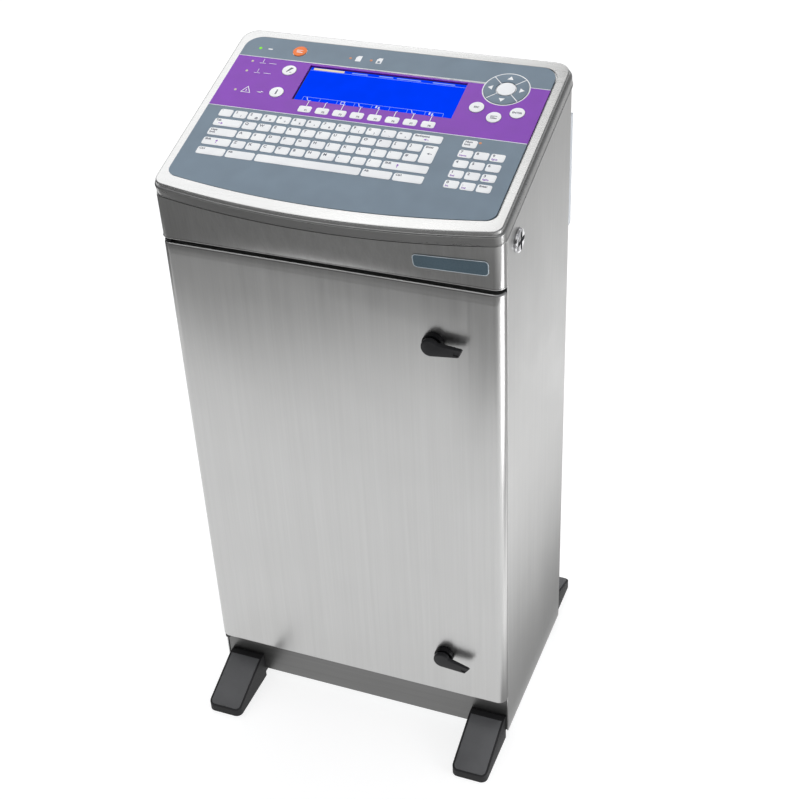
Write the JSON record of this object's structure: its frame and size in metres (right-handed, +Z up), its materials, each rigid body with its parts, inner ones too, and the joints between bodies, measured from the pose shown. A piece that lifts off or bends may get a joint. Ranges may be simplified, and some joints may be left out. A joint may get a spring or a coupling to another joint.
{
  "type": "date code inkjet printer",
  "caption": "Floor-standing inkjet date coder: brushed steel cabinet on wedge feet, hinged front door with wing latches, and a tilting sloped console with keyboard and display.",
  "frame": {"origin": "on the floor, under the middle of the cabinet", "axes": "+Z up, front door and console face -Y, +X is the right of a person at the keyboard"},
  "size_m": [0.3466, 0.3312, 0.7018],
  "materials": {
    "steel_cabinet": "vertical brushed grain, satin",
    "steel_dark": "fine brushed, in shade",
    "steel_console": "fine satin",
    "zinc_sheet": "zinc plated sheet, dull",
    "chrome_fittings": "polished",
    "black_plastic": "fine moulded texture, satin",
    "black_rubber": "matt moulded",
    "membrane": "printed polyester film, satin",
    "key_white": "printed polyester film, satin",
    "key_orange": "printed polyester film, satin",
    "lcd_window": "backlit blue display behind a clear window",
    "circuit_board": "solder mask",
    "tank_plastic": "blow moulded, translucent",
    "cast_case": "bead blasted",
    "cover_plastic": "moulded, light grey",
    "badge": "domed label, light outline"
  },
  "bodies": {
    "cabinet": {"side_panel_left": "steel_cabinet", "side_panel_right": "steel_cabinet", "rear_panel": "steel_cabinet", "plinth": "steel_dark", "front_fascia": "steel_dark", "console_hinge_leaf": "steel_console", "base_plate": "zinc_sheet", "door_frame": "zinc_sheet", "mid_shelf": "zinc_sheet", "pressure_accumulator": "zinc_sheet", "console_hinge_pin": "chrome_fittings", "door_pivot_lower": "black_plastic", "door_pivot_upper": "black_plastic", "umbilical_gland": "black_plastic", "power_gland": "black_plastic", "signal_gland": "black_plastic", "fan_housing": "black_plastic", "foot_front_left": "black_rubber", "foot_front_right": "black_rubber", "foot_rear_left": "black_rubber", "foot_rear_right": "black_rubber", "main_board": "circuit_board", "ink_tank": "tank_plastic", "makeup_tank": "tank_plastic", "ink_manifold": "tank_plastic", "ink_filter": "tank_plastic", "power_supply": "cast_case", "ink_pump": "cast_case", "rear_filter_cover": "cover_plastic", "fascia_badge": "badge"},
    "door": {"door_panel": "steel_cabinet", "door_gasket": "black_rubber", "upper_latch_housing": "black_plastic", "lower_latch_housing": "black_plastic"},
    "upper_latch": {"upper_latch_handle": "black_plastic", "upper_latch_cam": "zinc_sheet"},
    "lower_latch": {"lower_latch_handle": "black_plastic", "lower_latch_cam": "zinc_sheet"},
    "console": {"console_bezel": "steel_console", "membrane_overlay": "membrane", "display_window": "lcd_window", "display_module": "black_plastic", "console_board": "circuit_board", "console_hinge_bracket": "steel_console"},
    "side_lock_left": {"side_lock_left": "chrome_fittings"},
    "side_lock_right": {"side_lock_right": "chrome_fittings"},
    "fan": {"fan_rotor": "black_plastic"},
    "ink_cap": {"ink_tank_cap": "black_plastic"},
    "makeup_cap": {"makeup_tank_cap": "black_plastic"},
    "power_key": {"power_key": "key_orange"},
    "print_key": {"print_key": "key_white"},
    "info_key": {"info_key": "key_white"},
    "escape_key": {"escape_key": "key_white"},
    "edit_key": {"edit_key": "key_white"},
    "enter_key": {"enter_key": "key_white"},
    "pad_centre_key": {"pad_centre_key": "key_white"},
    "pad_up_key": {"pad_up_key": "membrane"},
    "pad_down_key": {"pad_down_key": "membrane"},
    "pad_left_key": {"pad_left_key": "membrane"},
    "pad_right_key": {"pad_right_key": "membrane"}
  },
  "joints": [
    {"name": "door_swing", "type": "hinge", "parent": "cabinet", "child": "door", "pos_m": [-0.163, -0.10305, 0.3182], "axis": [0, 0, -1], "range_deg": [0, 110]},
    {"name": "upper_latch_turn", "type": "hinge", "parent": "door", "child": "upper_latch", "pos_m": [0.103, -0.10725, 0.5137], "axis": [0, 1, 0], "range_deg": [0, 90]},
    {"name": "lower_latch_turn", "type": "hinge", "parent": "door", "child": "lower_latch", "pos_m": [0.103, -0.10725, 0.1187], "axis": [0, 1, 0], "range_deg": [0, 90]},
    {"name": "console_tilt", "type": "hinge", "parent": "cabinet", "child": "console", "pos_m": [0, 0.10035, 0.6762], "axis": [-1, 0, 0], "range_deg": [0, 65]},
    {"name": "side_lock_left_turn", "type": "hinge", "parent": "cabinet", "child": "side_lock_left", "pos_m": [-0.17, -0.06765, 0.6082], "axis": [1, 0, 0], "range_deg": [0, 90]},
    {"name": "side_lock_right_turn", "type": "hinge", "parent": "cabinet", "child": "side_lock_right", "pos_m": [0.17, -0.06765, 0.6082], "axis": [1, 0, 0], "range_deg": [0, 90]},
    {"name": "fan_spin", "type": "hinge", "parent": "cabinet", "child": "fan", "pos_m": [0.1, 0.06985, 0.5972], "axis": [0, 1, 0], "continuous": true},
    {"name": "ink_cap_turn", "type": "hinge", "parent": "cabinet", "child": "ink_cap", "pos_m": [-0.085, 0.00135, 0.1622], "axis": [0, 0, 1], "range_deg": [0, 270]},
    {"name": "makeup_cap_turn", "type": "hinge", "parent": "cabinet", "child": "makeup_cap", "pos_m": [0.085, 0.00135, 0.1622], "axis": [0, 0, 1], "range_deg": [0, 270]},
    {"name": "power_key_press", "type": "slide", "parent": "console", "child": "power_key", "axis": [0, 0.2823, -0.9593], "range_m": [0, 0.0005], "stiffness_N_per_m": 2000},
    {"name": "print_key_press", "type": "slide", "parent": "console", "child": "print_key", "axis": [0, 0.2823, -0.9593], "range_m": [0, 0.0005], "stiffness_N_per_m": 2000},
    {"name": "info_key_press", "type": "slide", "parent": "console", "child": "info_key", "axis": [0, 0.2823, -0.9593], "range_m": [0, 0.0005], "stiffness_N_per_m": 2000},
    {"name": "escape_key_press", "type": "slide", "parent": "console", "child": "escape_key", "axis": [0, 0.2823, -0.9593], "range_m": [0, 0.0005], "stiffness_N_per_m": 2000},
    {"name": "edit_key_press", "type": "slide", "parent": "console", "child": "edit_key", "axis": [0, 0.2823, -0.9593], "range_m": [0, 0.0005], "stiffness_N_per_m": 2000},
    {"name": "enter_key_press", "type": "slide", "parent": "console", "child": "enter_key", "axis": [0, 0.2823, -0.9593], "range_m": [0, 0.0005], "stiffness_N_per_m": 2000},
    {"name": "pad_centre_key_press", "type": "slide", "parent": "console", "child": "pad_centre_key", "axis": [0, 0.2823, -0.9593], "range_m": [0, 0.0005], "stiffness_N_per_m": 2000},
    {"name": "pad_up_key_press", "type": "slide", "parent": "console", "child": "pad_up_key", "axis": [0, 0.2823, -0.9593], "range_m": [0, 0.0005], "stiffness_N_per_m": 2000},
    {"name": "pad_down_key_press", "type": "slide", "parent": "console", "child": "pad_down_key", "axis": [0, 0.2823, -0.9593], "range_m": [0, 0.0005], "stiffness_N_per_m": 2000},
    {"name": "pad_left_key_press", "type": "slide", "parent": "console", "child": "pad_left_key", "axis": [0, 0.2823, -0.9593], "range_m": [0, 0.0005], "stiffness_N_per_m": 2000},
    {"name": "pad_right_key_press", "type": "slide", "parent": "console", "child": "pad_right_key", "axis": [0, 0.2823, -0.9593], "range_m": [0, 0.0005], "stiffness_N_per_m": 2000}
  ]
}
